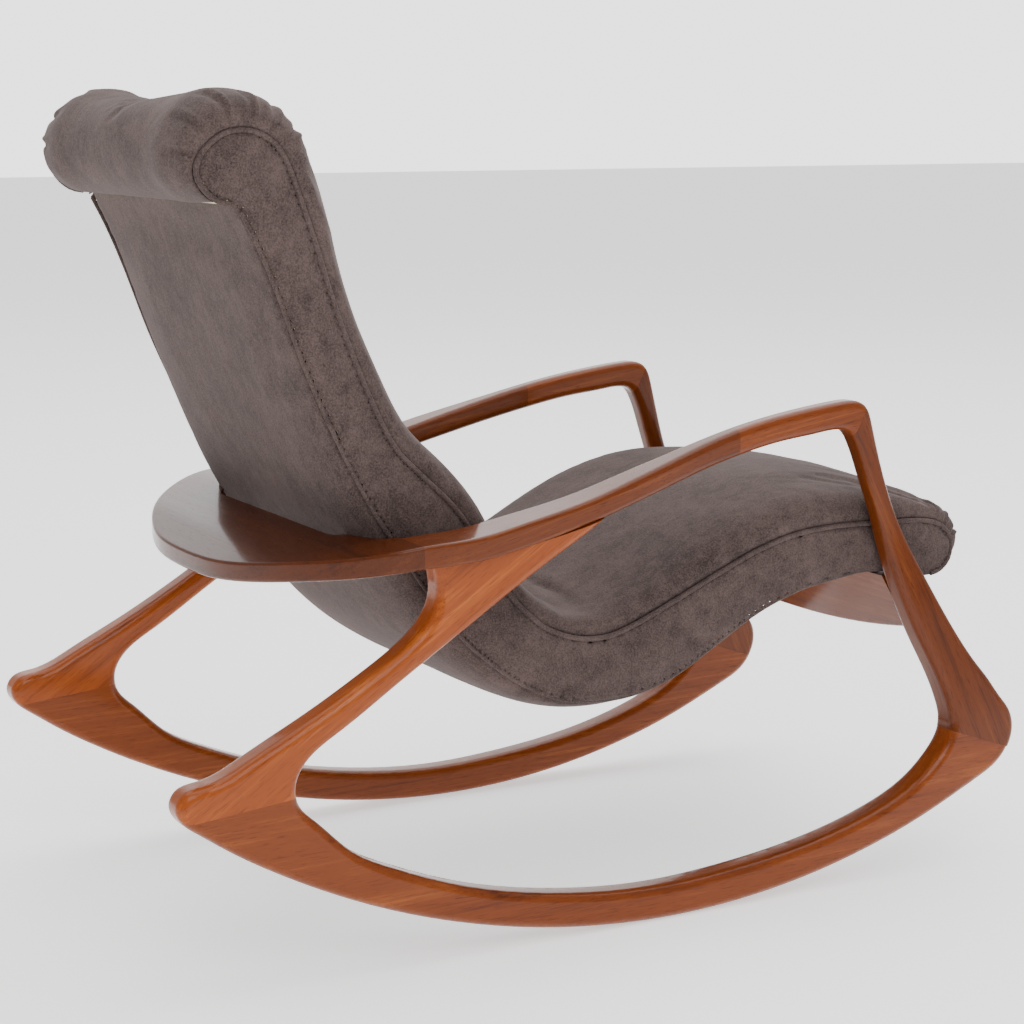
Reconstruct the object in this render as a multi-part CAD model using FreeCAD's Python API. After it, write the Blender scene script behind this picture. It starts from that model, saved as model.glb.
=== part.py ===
import FreeCAD, Part
import math
import os

os.makedirs("parts", exist_ok=True)
V = FreeCAD.Vector

# Rocking chair, millimetres, +Z up, front towards -Y, left-right symmetric about X = 0.
# The sitter's right hand is on the -X side.

# ---- driving sizes ----
HEIGHT = 1002.0          # floor to top of head roll
DEPTH = 1167.0           # rocker nose to rocker nose
SEAT_W = 501.0           # over the two side panels
FRAME_T = 42.0           # thickness of rockers and rear legs
FRAME_EDGE = 12.0        # round-over of rockers and legs
ARM_EDGE = 10.0          # round-over of the arm at the front
RAIL_EDGE = 4.5          # round-over of the back rail
LEG_EDGE = 11.0          # round-over of the front legs
STRETCHER_T = 24.0
STRETCHER_H = 74.0       # height of the stretcher at its ends
STRETCHER_BELLY = 36.0   # how far its lower edge drops at the middle
STRETCHER_EDGE = 5.0     # round-over of the stretcher
PANEL_T = 5.0            # padded side panel
PLY_T = 18.0             # plywood shell side
FOAM_T = 25.0
BURLAP_T = 1.5
WEB_T = 2.5              # webbing straps behind the burlap
WEB_W = 57.0
WELT_R = 3.2
DOWEL_D = 10.0
DOWEL_LEN = 60.0
DOWEL_FIT = 0.1          # hole over dowel, on diameter
BOLT_D = 8.0
BOLT_LEN = 108.0
SCREW_D = 6.0
SCREW_LEN = 52.0
SOFT_GAP = 0.3           # clearance around padded pieces
CROWN_POWER = 6          # squareness of the crowned padding across the chair

# ---- derived sizes ----
KX = SEAT_W / 501.0
KY = DEPTH / 1167.0
KZ = HEIGHT / 1002.0
PANEL_X = SEAT_W / 2
PLY_X1 = PANEL_X - PANEL_T
PLY_X0 = PLY_X1 - PLY_T
GAUGE = 300.0 * KX       # middle of the chair to middle of a rocker
WIDE = 2 * (GAUGE + 200)


def side(y, z, x=0.0):
    """Point of a side-view outline, drawn at the nominal size and scaled to the driving sizes."""
    return V(x, y * KY, z * KZ)


def spline(points, start=None, end=None):
    curve = Part.BSplineCurve()
    if start is None:
        curve.interpolate(points)
    else:
        curve.interpolate(Points=points, InitialTangent=start, FinalTangent=end)
    return curve


def prism(edges, direction):
    """Solid from a closed outline."""
    wire = Part.Wire(Part.__sortEdges__(edges))
    return Part.Face(wire).extrude(direction)


def poly_prism(points, direction):
    return Part.Face(Part.makePolygon(points + [points[0]])).extrude(direction)


def side_prism(pairs, x0, x1):
    return poly_prism([side(y, z, x0) for y, z in pairs], V(x1 - x0, 0, 0))


def mirrored(shape):
    return shape.mirror(V(0, 0, 0), V(1, 0, 0))


def rounded(shape, radius, shortest=60.0):
    """Round the long edges."""
    return shape.makeFillet(radius, [e for e in shape.Edges if e.Length > shortest])


def nearest_edge(shape, point):
    spot = Part.Vertex(point)
    return min((e for e in shape.Edges if e.Length > 100), key=lambda e: e.distToShape(spot)[0])


def tapered_round(shape, radius_rear, radius_front, shortest):
    """Round the long edges with a radius that grows towards the front."""
    jobs = []
    for edge in shape.Edges:
        if edge.Length > shortest:
            first = edge.valueAt(edge.FirstParameter)
            last = edge.valueAt(edge.LastParameter)
            middle = edge.valueAt((edge.FirstParameter + edge.LastParameter) / 2)
            jobs.append((first.y > last.y, middle))
    for rear_first, middle in jobs:
        radii = (radius_rear, radius_front) if rear_first else (radius_front, radius_rear)
        shape = shape.makeFillet(radii[0], radii[1], [nearest_edge(shape, middle)])
    return shape


def cylinder(start, direction, length, diameter):
    return Part.makeCylinder(diameter / 2, length, start, direction)


def pin(centre, direction, length, diameter):
    axis = V(*direction)
    axis.normalize()
    return cylinder(centre - axis * (length / 2), axis, length, diameter)


# ---- outlines of the wooden frame, side view (y, z) ----
ROCKER_R = 1069.0        # rolling radius
CONTACT_Y = -57.0        # floor contact at rest
ARC_REACH = [-530, -430, -330, -230, -130, -30, 70, 170, 270, 370, 460, 530]
REAR_NOSE_AND_LEG = [
    (562, 198), (577, 210), (585, 228), (576, 244), (550, 251),
    (497.5, 272.5), (424.5, 309.5), (349.5, 351.5), (305.5, 380),
    (280, 404), (267, 430), (267, 455), (276, 486),
]
OPENING = [
    (20, 526), (57, 497), (108.5, 467), (161.5, 435.5), (239.5, 386),
    (315.5, 338), (390.5, 290), (430, 262), (443, 238), (440, 214),
    (419, 191), (375.5, 150), (324.5, 122), (220.5, 82), (112.5, 57),
    (0, 44), (-58.5, 43), (-117.5, 46), (-239.5, 60), (-364.5, 91),
    (-428.5, 121), (-464, 152), (-479, 174), (-483, 194), (-479, 214),
    (-470, 239), (-457.5, 266),
]
FRONT_NOSE = [(-529, 264), (-545.5, 244), (-566, 216), (-581, 195), (-585, 173), (-578, 149), (-561, 128)]
ARM_TOP = [
    (470, 450), (453, 454), (410, 470), (366, 481), (331, 489), (289, 496),
    (218, 501), (164, 510), (110, 520), (52, 533), (-4, 549), (-54, 563),
    (-109, 578), (-174, 594), (-239, 606), (-290, 613), (-328, 617),
    (-349, 616), (-364, 607), (-371, 592), (-376, 574),
    (-388, 531), (-406, 478), (-443, 401), (-482, 333), (-512.5, 286),
    (-529, 264), (-545.5, 244), (-566, 216), (-581, 195), (-585, 173), (-578, 149), (-561, 128), (-545, 119),
]
ARM_BELOW = [
    (470, 424), (453, 429), (410, 445), (366, 456), (331, 463), (289, 469),
    (218, 473), (164, 481), (110, 491), (52, 504), (-4, 519), (-54, 532),
    (-109, 546), (-174, 561), (-239, 573), (-290, 579), (-320, 581.5),
    (-336, 577), (-344, 566), (-351, 551),
    (-363, 517), (-376, 480), (-393, 421), (-410, 369), (-434.5, 311),
    (-457.5, 266), (-470, 239), (-479, 214), (-483, 194), (-479, 174), (-464, 152), (-440, 128),
]
FRONT_JOINT = [(-460, 188.8), (-620, 132)]
REAR_JOINT = [(430, 225.5), (640, 204.5)]
MITRE_LEG_SIDE = [(-312, 517), (-390, 665), (-700, 665), (-700, 0), (-312, 0)]

# ---- plan outline of back rail and arms (x, y) ----
PLAN_OUTER = [
    (280, -430), (280, -330), (280, -260), (281, -200), (284, -152), (289, -116),
    (296, -80), (306, -30), (315, 30), (322, 90), (328, 150), (333, 205),
    (334.5, 250), (332, 283), (325, 311), (314, 332), (300, 350), (283, 367),
    (254, 389), (217, 410), (155, 434), (95, 448), (0, 453.5),
]
PLAN_INNER = [
    (247, -430), (247, -330), (248, -260), (250, -200), (252.5, -150), (256, -100),
    (259, -50), (262, 13), (265, 90), (266, 200), (266, 270), (266, 302),
]
RAIL_INNER = [
    (266, 200), (266, 260), (263, 285), (254, 303), (232, 313), (206, 318),
    (192, 321.5), (183, 328), (172, 333), (155, 334.5), (100, 334.5), (30, 334.5),
]
SEAM_Y = 290.0           # back rail to arm
SCARF_Y = -166.0         # rear arm to front arm
FAR_FRONT = -700.0       # planes beyond the chair, for cutting
FAR_REAR = 700.0
LEG_SLIM_Z = 498.0       # above this the front leg no longer follows the rocker thickness
LEG_SLIM_RUN = 320.0

# ---- front view of the front leg (x, z); it leans inwards and thins between foot and elbow ----
LEG_OUTER = [(321, 60), (321, 178), (316, 225), (306, 300), (297, 370), (288, 430), (283, 490), (280.5, 550), (280, 660)]
LEG_INNER = [(279, 60), (279, 178), (275, 225), (267, 300), (261, 370), (255.5, 430), (252, 490), (248, 550), (247, 660)]

# ---- upholstery, side view (y, z, height of the padding beyond this line at mid width) ----
WELT = [
    (473, 876, 2), (494, 880, 4), (509, 890, 7), (519, 904, 11), (520.5, 918, 16), (514.5, 932, 25),
    (500.5, 946, 35), (483.5, 955, 42), (463.5, 957, 44), (446.5, 953, 44), (431.5, 944, 43), (419.5, 930, 42),
    (411.5, 913, 41), (402.5, 889, 40), (390.5, 856, 40), (379.5, 823, 40), (367.5, 784, 40),
    (344.5, 720, 40), (314.5, 649, 40), (287, 598, 40), (257.5, 567, 39), (212.5, 524, 36),
    (180, 479, 34), (137.5, 412, 30), (113.5, 386, 29), (85.5, 364, 28), (43.5, 348, 28),
    (0, 346, 30), (-41.5, 358, 32), (-98.5, 382, 36), (-157.5, 408, 40), (-216.5, 432, 43),
    (-277.5, 448, 45), (-340.5, 453, 46), (-400, 452, 44), (-439.5, 451, 42), (-468.5, 450, 39),
    (-493.5, 446, 35), (-510.5, 438, 31), (-522.5, 424, 27), (-524.5, 406, 20), (-519, 391, 13),
    (-505, 380, 7), (-482, 376, 2),
]
REAR_SEAM = [
    (-482, 376, 2), (-440, 386, 3), (-389.5, 391, 3), (-341.5, 386, 4), (-279.5, 375, 5), (-218.5, 353, 7),
    (-158.5, 320, 9), (-100.5, 288, 11), (-42.5, 270, 14), (15.5, 267, 18), (71.5, 277, 23),
    (126.5, 304, 28), (180.5, 346, 32), (206.5, 373, 33), (250, 431, 32), (290.5, 491, 31),
    (315.5, 529, 27), (352.5, 598, 20), (393.5, 687, 12), (428.5, 780, 8), (450.5, 832, 5), (473, 876, 2),
]
STRETCHER_TOP = (-405, 384)   # its top rear corner (y, z)
STRETCHER_SPARE = 27.0        # cut off level with the top rear corner
HEAD_SPLIT_Z = 868.0          # head roll core above, top cross rail below
TOP_RAIL_Z = 838.0
NOSE_SPLIT_Y = -470.0         # seat nose core in front, front cross rail behind
FRONT_RAIL_Y = -398.0
SEAT_RAIL_Y = (-20, 25)
LUMBAR_RAIL_Z = (452, 500)
BACK_SEAT_Y = 205.0           # back foam and webbing behind, seat foam and webbing in front
FOAM_FIRST, FOAM_LAST = 11, -5   # points of the welt line spanned by foam, burlap and webbing
RAIL_BOLT_X = 110.0
RAIL_BOLT_Z = 476.0
SEAT_SCREW_X = 150.0
STRAP_X = [-168, -84, 0, 84, 168]


def outline(pairs, x=0.0):
    return [side(p[0], p[1], x) for p in pairs]


# ---- rocker, rear leg: one flat blank cut at the glue joints ----
def side_blank():
    x0 = GAUGE - FRAME_T / 2
    arc = [(y, ROCKER_R - math.sqrt(ROCKER_R ** 2 - (y - CONTACT_Y) ** 2)) for y in ARC_REACH]
    outer = spline(outline(FRONT_NOSE + arc + REAR_NOSE_AND_LEG, x0)).toShape()
    top = Part.makeLine(side(276, 486, x0), side(20, 526, x0))
    opening = spline(outline(OPENING, x0)).toShape()
    stub = Part.makeLine(side(-457.5, 266, x0), side(-529, 264, x0))
    blank = prism([outer, top, opening, stub], V(FRAME_T, 0, 0))
    return rounded(blank, FRAME_EDGE, shortest=600 * KY)


def arm_outline(x0):
    upper = spline(outline(ARM_TOP, x0)).toShape()
    lower = spline(outline(ARM_BELOW, x0)).toShape()
    rear = Part.makeLine(side(*ARM_TOP[0], x0), side(*ARM_BELOW[0], x0))
    front = Part.makeLine(side(*ARM_TOP[-1], x0), side(*ARM_BELOW[-1], x0))
    return [upper, lower, rear, front]


def below_arms():
    """Everything under the arm and back rail."""
    lower = spline(outline(ARM_BELOW, 0)).toShape()
    lines = [(-440, 128), (-440, -100), (700, -100), (700, 424), (470, 424)]
    walls = [Part.makeLine(side(*a), side(*b)) for a, b in zip(lines, lines[1:])]
    return prism([lower] + walls, V(WIDE, 0, 0))


def plan(x, y):
    return V(x * KX, y * KY, 0)


def plan_solid(edges):
    return prism(edges, V(0, 0, 900 * KZ))


def arm_plan():
    outer = spline([plan(x, y) for x, y in PLAN_OUTER]).toShape()
    inner = spline([plan(x, y) for x, y in PLAN_INNER]).toShape()
    front = Part.makeLine(plan(*PLAN_INNER[0]), plan(*PLAN_OUTER[0]))
    back = Part.makeLine(plan(*PLAN_INNER[-1]), plan(0, PLAN_INNER[-1][1]))
    middle = Part.makeLine(plan(0, PLAN_INNER[-1][1]), plan(*PLAN_OUTER[-1]))
    return plan_solid([outer, inner, front, back, middle])


def rail_plan():
    """Plan of the crescent back rail with its shallow recess for the back."""
    right = [(x, y) for x, y in PLAN_OUTER[7:]]
    full = right + [(-x, y) for x, y in right[-2::-1]]
    outer = spline([plan(x, y) for x, y in full]).toShape()
    recess = RAIL_INNER + [(-x, y) for x, y in reversed(RAIL_INNER)]
    inner = spline([plan(x, y) for x, y in recess]).toShape()
    end_r = Part.makeLine(plan(*right[0]), plan(*RAIL_INNER[0]))
    end_l = Part.makeLine(plan(-right[0][0], right[0][1]), plan(-RAIL_INNER[0][0], RAIL_INNER[0][1]))
    return plan_solid([outer, inner, end_r, end_l])


def leg_front_view():
    outer = []
    inner = []
    for (xo, z), (xi, _) in zip(LEG_OUTER, LEG_INNER):
        foot_share = min(1.0, max(0.0, (LEG_SLIM_Z - z) / LEG_SLIM_RUN))
        middle = (xo + xi) / 2 * KX
        half = (xo - xi) / 2 * (FRAME_T / 42.0 * foot_share + 1 - foot_share)
        outer.append(V(middle + half, FAR_FRONT * KY, z * KZ))
        inner.append(V(middle - half, FAR_FRONT * KY, z * KZ))
    up = V(0, 0, 1)
    return prism([
        spline(outer, up, up).toShape(),
        spline(inner, up, up).toShape(),
        Part.makeLine(outer[0], inner[0]),
        Part.makeLine(outer[-1], inner[-1]),
    ], V(0, 500 * KY, 0))


def slab(y0, y1):
    """Everything between two cross planes."""
    return Part.makeBox(2 * WIDE, (y1 - y0) * KY, 1200 * KZ, V(-WIDE, y0 * KY, -50))


# ---- wooden frame, left-hand side (+X), mirrored later ----
blank = side_blank()
above_rear = side_prism(
    [REAR_JOINT[0], REAR_JOINT[1], (640, 700), (-60, 700), (-60, 300), (300, 260)], 0, WIDE)
above_front = side_prism([FRONT_JOINT[0], FRONT_JOINT[1], (-620, 700), (-300, 700), (-300, 300)], 0, WIDE)
leg_of_mitre = side_prism(MITRE_LEG_SIDE, 0, WIDE)
rocker = blank.cut(above_rear).cut(above_front)
rear_leg = blank.common(above_rear).common(below_arms())

arm_side = prism(arm_outline(0), V(WIDE, 0, 0))
leg_raw = arm_side.common(leg_front_view())
front_leg = rounded(leg_raw.common(leg_of_mitre).common(above_front), LEG_EDGE, shortest=250 * KZ)

arm_raw = arm_side.common(arm_plan()).cut(leg_of_mitre)
arm_front = rounded(arm_raw.common(slab(FAR_FRONT, SCARF_Y)), ARM_EDGE)
arm_rear = tapered_round(arm_raw.common(slab(SCARF_Y, SEAM_Y)), RAIL_EDGE, ARM_EDGE, 400)

both_sides = prism(arm_outline(-WIDE), V(2 * WIDE, 0, 0))
back_rail = both_sides.common(rail_plan()).common(slab(SEAM_Y, FAR_REAR))
outer_edges = sorted(back_rail.Edges, key=lambda e: -e.Length)[:2]
back_rail = back_rail.makeFillet(RAIL_EDGE, outer_edges)

# front stretcher: a board leaning with the legs, flat on top and bellied below
lean = V(0, -0.479, -0.878)
face_out = V(0, -0.878, 0.479)
corner = side(*STRETCHER_TOP) - lean * STRETCHER_SPARE
low = side(*STRETCHER_TOP) + lean * STRETCHER_H
belly = low + lean * STRETCHER_BELLY
stretcher = prism([
    Part.makeLine(corner + V(-GAUGE, 0, 0), corner + V(GAUGE, 0, 0)),
    Part.makeLine(corner + V(GAUGE, 0, 0), low + V(GAUGE, 0, 0)),
    Part.makeLine(corner + V(-GAUGE, 0, 0), low + V(-GAUGE, 0, 0)),
    Part.Arc(low + V(-GAUGE, 0, 0), belly, low + V(GAUGE, 0, 0)).toShape(),
], face_out * STRETCHER_T)
stretcher = rounded(stretcher, STRETCHER_EDGE, shortest=400 * KX)
stretcher = stretcher.cut(leg_raw).cut(mirrored(leg_raw))
below_top = Part.makeBox(2 * WIDE, 2 * WIDE, (STRETCHER_TOP[1] + 0.2) * KZ, V(-WIDE, -WIDE, 0))
stretcher = stretcher.common(below_top)
stretcher = max(stretcher.Solids, key=lambda s: s.Volume)

# ---- hidden dowels, left-hand side; each runs through a glue joint ----
END_X = 262.5 * KX
DOWELS = {
    "rocker_dowels": [
        (side(470, 222, GAUGE), (0, 0.095, 0.995)),
        (side(520, 217, GAUGE), (0, 0.095, 0.995)),
        (side(-505, 173, GAUGE), (0, -0.334, 0.943)),
        (side(-545, 159, GAUGE), (0, -0.334, 0.943)),
    ],
    "arm_dowels": [
        (side(130, 487, GAUGE), (0, 0.17, 0.985)),
        (side(190, 477, GAUGE), (0, 0.1, 0.995)),
        (side(245, 471.5, GAUGE), (0, 0.05, 0.999)),
    ],
    "arm_joint_dowels": [
        (side(SCARF_Y, 575.5, 267.5 * KX), (0, 1, -0.23)),
        (side(SEAM_Y, 482.5, 285 * KX), (0, 1, -0.12)),
        (side(SEAM_Y, 482.5, 312 * KX), (0, 1, -0.12)),
    ],
    "stretcher_dowels": [
        (side(-405, 384, END_X) + lean * 22 + face_out * (STRETCHER_T / 2), (1, 0, 0)),
        (side(-405, 384, END_X) + lean * 54 + face_out * (STRETCHER_T / 2), (1, 0, 0)),
    ],
}
DOWEL_LENGTHS = {
    "rocker_dowels": DOWEL_LEN,
    "arm_dowels": 34.0,
    "arm_joint_dowels": 44.0,
    "stretcher_dowels": 44.0,
}


def dowel_set(name, fit=0.0):
    pins = [pin(c, d, DOWEL_LENGTHS[name] + 2 * fit, DOWEL_D + fit) for c, d in DOWELS[name]]
    return pins + [mirrored(p) for p in pins]


def drilled(shape):
    for name in DOWELS:
        shape = shape.cut(dowel_set(name, DOWEL_FIT))
    return shape


# ---- fasteners between frame and shell ----
rail_bolts = []
rail_bolt_holes = []
for x in (-RAIL_BOLT_X * KX, RAIL_BOLT_X * KX):
    start = side(248, RAIL_BOLT_Z, x)
    rail_bolts.append(cylinder(start, V(0, 1, 0), BOLT_LEN, BOLT_D))
    rail_bolt_holes.append(cylinder(start, V(0, 1, 0), BOLT_LEN, BOLT_D + DOWEL_FIT))
seat_screws = []
seat_screw_holes = []
for x in (-SEAT_SCREW_X * KX, 0, SEAT_SCREW_X * KX):
    start = side(-426, 360, x)
    seat_screws.append(cylinder(start, V(0, 0, 1), SCREW_LEN, SCREW_D))
    seat_screw_holes.append(cylinder(start, V(0, 0, 1), SCREW_LEN, SCREW_D + DOWEL_FIT))
bores = rail_bolt_holes + seat_screw_holes


# ---- upholstered shell ----
class Line:
    """A side-view curve with its outward normals."""

    def __init__(self, rows):
        self.points = outline(rows)
        self.crown = [row[2] for row in rows]
        self.curve = spline(self.points)
        self.normals = []
        for point in self.points:
            t = self.curve.tangent(self.curve.parameter(point))[0]
            self.normals.append(V(0, t.z, -t.y))

    def offset(self, distance, first=0, last=None):
        pairs = list(zip(self.points, self.normals))[first:last]
        return [p + n * distance for p, n in pairs]


welt_line = Line(WELT)
seam_line = Line(REAR_SEAM)


def mitred(a, na, b, nb, inset):
    """Corner of two lines that meet end to end, moved inwards by the inset."""
    middle = (a + b) * 0.5
    return middle - (na + nb) * (inset / (1 + na.dot(nb)))


def panel_prism(x0, x1, inset=0.0):
    if inset:
        front = spline(welt_line.offset(-inset, 1, -1)).toShape()
        rear = spline(seam_line.offset(-inset, 1, -1)).toShape()
        top = mitred(welt_line.points[0], welt_line.normals[0],
                     seam_line.points[-1], seam_line.normals[-1], inset)
        bottom = mitred(welt_line.points[-1], welt_line.normals[-1],
                        seam_line.points[0], seam_line.normals[0], inset)
        ends = [
            Part.makeLine(front.valueAt(front.FirstParameter), top),
            Part.makeLine(top, rear.valueAt(rear.LastParameter)),
            Part.makeLine(front.valueAt(front.LastParameter), bottom),
            Part.makeLine(bottom, rear.valueAt(rear.FirstParameter)),
        ]
    else:
        front = welt_line.curve.toShape()
        rear = seam_line.curve.toShape()
        ends = []
    solid = prism([front, rear] + ends, V(x1 - x0, 0, 0))
    solid.translate(V(x0, 0, 0))
    return solid


def padding(line, half, power):
    """Padded face: a crowned section carried along the line, flat against the shell."""
    sections = []
    for base, out, crown in zip(line.points, line.normals, line.crown):
        points = []
        for k in range(15):
            angle = math.pi * k / 14
            c = math.cos(angle)
            x = half * math.copysign(abs(c) ** (2.0 / power), c)
            points.append(base + V(x, 0, 0) + out * (crown * math.sin(angle)))
        arch = spline(points).toShape()
        chord = Part.makeLine(points[-1], points[0])
        sections.append(Part.Wire([arch, chord]))
    return Part.makeLoft(sections, True, False)


def strip(near, far):
    """Layer between two depths below the welt line, full width between the shell sides."""
    a = welt_line.offset(-near, FOAM_FIRST, FOAM_LAST)
    b = welt_line.offset(-far, FOAM_FIRST, FOAM_LAST)
    solid = prism([
        spline(a).toShape(), spline(b).toShape(),
        Part.makeLine(a[0], b[0]), Part.makeLine(a[-1], b[-1]),
    ], V(2 * PLY_X0, 0, 0))
    solid.translate(V(-PLY_X0, 0, 0))
    return solid


def zone(y0, y1, z0, z1):
    return side_prism([(y0, z0), (y1, z0), (y1, z1), (y0, z1)], -WIDE, WIDE)


core = panel_prism(-PLY_X0, PLY_X0)
head_zone = zone(300, FAR_REAR, HEAD_SPLIT_Z, 1100)
nose_zone = zone(FAR_FRONT, NOSE_SPLIT_Y, 200, 600)
middle = core.cut(head_zone).cut(nose_zone)
foam_strip = strip(-6, FOAM_T)
burlap_strip = strip(FOAM_T, FOAM_T + BURLAP_T)
web_strip = strip(FOAM_T + BURLAP_T, FOAM_T + BURLAP_T + WEB_T)
behind = middle.cut(foam_strip).cut(burlap_strip).cut(web_strip)
foam = middle.common(foam_strip)
back_half = zone(BACK_SEAT_Y, FAR_REAR, 300, 1100)
head_core = core.common(head_zone)
nose_core = core.common(nose_zone)
top_rail = behind.common(zone(300, FAR_REAR, TOP_RAIL_Z, HEAD_SPLIT_Z))
lumbar_rail = behind.common(zone(150, 400, *LUMBAR_RAIL_Z))
seat_rail = behind.common(zone(*SEAT_RAIL_Y, 200, 400))
front_rail = behind.common(zone(NOSE_SPLIT_Y, FRONT_RAIL_Y, 300, 500))


def sweep(path, radius):
    start = path.FirstParameter
    ring = Part.Circle(path.value(start), path.tangent(start)[0], radius).toShape()
    return Part.Wire([path.toShape()]).makePipeShell([Part.Wire([ring])], True, False)


def straps():
    """Webbing straps along the whole shell, from the top rail to the front rail."""
    bands = [Part.makeBox(WEB_W, 4 * DEPTH, 2 * HEIGHT, V(x * KX - WEB_W / 2, -2 * DEPTH, 0)) for x in STRAP_X]
    return [middle.common(web_strip).common(band) for band in bands]


def welt(x):
    return sweep(spline([p + V(x, 0, 0) for p in welt_line.points[1:-1]]), WELT_R)


cushion = padding(welt_line, PLY_X1, CROWN_POWER)
back_cover = padding(seam_line, PLY_X1, CROWN_POWER)
back_cover = back_cover.cut(bores)
lumbar_rail = lumbar_rail.cut(bores)
front_rail = front_rail.cut(bores)
foam = foam.cut(bores)
back_rail = back_rail.cut(rail_bolt_holes)
stretcher = stretcher.cut(seat_screw_holes)

sides = {
    "rocker": drilled(rocker),
    "rear_leg": drilled(rear_leg),
    "front_leg": drilled(front_leg),
    "arm_rear": drilled(arm_rear),
    "arm_front": drilled(arm_front),
    "shell_side": panel_prism(PLY_X0, PLY_X1, 1.0),
    "side_panel": panel_prism(PLY_X1 + 0.1, PANEL_X, WELT_R + SOFT_GAP),
    "welt": welt(PANEL_X - 1.5),
}
PARTS = {}
for name, shape in sides.items():
    PARTS[name + "_left"] = shape
    PARTS[name + "_right"] = mirrored(shape)
PARTS["back_rail"] = drilled(back_rail)
PARTS["front_stretcher"] = drilled(stretcher)
for name in DOWELS:
    PARTS[name] = Part.makeCompound(dowel_set(name))
PARTS["rail_bolts"] = Part.makeCompound(rail_bolts)
PARTS["seat_screws"] = Part.makeCompound(seat_screws)
PARTS["front_cushion"] = cushion
PARTS["back_cover"] = back_cover
PARTS["head_roll_core"] = head_core
PARTS["seat_nose_core"] = nose_core
PARTS["back_foam"] = foam.common(back_half)
PARTS["seat_foam"] = foam.cut(back_half)
PARTS["burlap"] = middle.common(burlap_strip)
PARTS["top_cross_rail"] = top_rail
PARTS["lumbar_cross_rail"] = lumbar_rail
PARTS["seat_cross_rail"] = seat_rail
PARTS["front_cross_rail"] = front_rail
straps_all = straps()
PARTS["back_webbing"] = Part.makeCompound([s.common(back_half) for s in straps_all])
PARTS["seat_webbing"] = Part.makeCompound([s.cut(back_half) for s in straps_all])

for name, shape in PARTS.items():
    shape.exportStep("parts/" + name + ".step")
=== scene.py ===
import math

import bmesh
import bpy
from bpy.props import FloatProperty, FloatVectorProperty, PointerProperty
from mathutils import Matrix, Vector, kdtree, noise


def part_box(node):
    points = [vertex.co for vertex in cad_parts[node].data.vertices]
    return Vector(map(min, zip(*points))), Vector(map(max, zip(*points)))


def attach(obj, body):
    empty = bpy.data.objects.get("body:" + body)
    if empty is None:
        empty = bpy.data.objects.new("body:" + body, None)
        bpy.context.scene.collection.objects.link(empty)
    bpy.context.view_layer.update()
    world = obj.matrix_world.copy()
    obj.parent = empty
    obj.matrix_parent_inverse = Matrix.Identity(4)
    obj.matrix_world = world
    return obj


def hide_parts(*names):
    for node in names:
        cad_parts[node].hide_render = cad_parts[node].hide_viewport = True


bl_info = {
    "name": "Rocking chair",
    "version": (1, 0, 0),
    "blender": (4, 5, 0),
    "location": "View3D > Sidebar > Rocking chair",
    "description": "Walnut rocking chair with an upholstered velvet shell",
    "category": "Object",
}

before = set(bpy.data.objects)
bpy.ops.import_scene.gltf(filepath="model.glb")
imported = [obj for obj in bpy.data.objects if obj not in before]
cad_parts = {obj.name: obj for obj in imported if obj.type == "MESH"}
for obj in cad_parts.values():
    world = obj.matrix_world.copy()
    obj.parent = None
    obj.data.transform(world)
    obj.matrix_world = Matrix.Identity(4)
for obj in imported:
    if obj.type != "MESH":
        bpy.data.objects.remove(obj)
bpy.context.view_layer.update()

# Side view of the upholstery (y, z), metres: the corded line round the front face,
# and the sewn line round the outside back and the underside of the seat.
CORD_LINE = [
    (.473, .876), (.494, .880), (.509, .890), (.519, .904), (.5205, .918), (.5145, .932), (.5005, .946),
    (.4835, .955), (.4635, .957), (.4465, .953), (.4315, .944), (.4195, .930), (.4115, .913), (.4025, .889),
    (.3905, .856), (.3795, .823), (.3675, .784), (.3445, .720), (.3145, .649), (.287, .598), (.2575, .567),
    (.2125, .524), (.180, .479), (.1375, .412), (.1135, .386), (.0855, .364), (.0435, .348), (0, .346),
    (-.0415, .358), (-.0985, .382), (-.1575, .408), (-.2165, .432), (-.2775, .448), (-.3405, .453),
    (-.400, .452), (-.4395, .451), (-.4685, .450), (-.4935, .446), (-.5105, .438), (-.5225, .424),
    (-.5245, .406), (-.519, .391), (-.505, .380), (-.482, .376),
]
SEWN_LINE = [
    (-.482, .376), (-.440, .386), (-.3895, .391), (-.3415, .386), (-.2795, .375), (-.2185, .353),
    (-.1585, .320), (-.1005, .288), (-.0425, .270), (.0155, .267), (.0715, .277), (.1265, .304),
    (.1805, .346), (.2065, .373), (.250, .431), (.2905, .491), (.3155, .529), (.3525, .598),
    (.3935, .687), (.4285, .780), (.4505, .832), (.473, .876),
]
HEAD = Vector((.4665, .915))      # middle of the head roll
FAR_SIDE = Vector((.87, -.48, .12)).normalized()
KNEE = Vector((-.487, .413))      # middle of the rolled front edge of the seat

CAD_CROWN = 6                     # squareness of the cushion solid across the chair
PLYWOOD_SETBACK = .005            # rim of the plywood sides below the edges of the covers
WALNUT_PIECES = 12
PANEL_CELL = .0045                # cells of the side panels' mesh
PANEL_OVERHANG = .0060            # velvet of a side panel carried past its rim

# Folds sewn into the front cover: middle of the fan, its reach, and each fold's angle in degrees.
GATHERS = (
    (HEAD, .13, (14, 42, 72, 99, 126, 150)),
    (KNEE, .10, (108, 134, 160)),
)

# Hand stitches along the sewn line.
STITCH_RADIUS = .0006
STITCH_STRETCH = 4.2              # length over thickness
STITCH_LEAN = .35                 # radians off the line
STITCH_SINK = .001                # depth in the velvet

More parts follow.
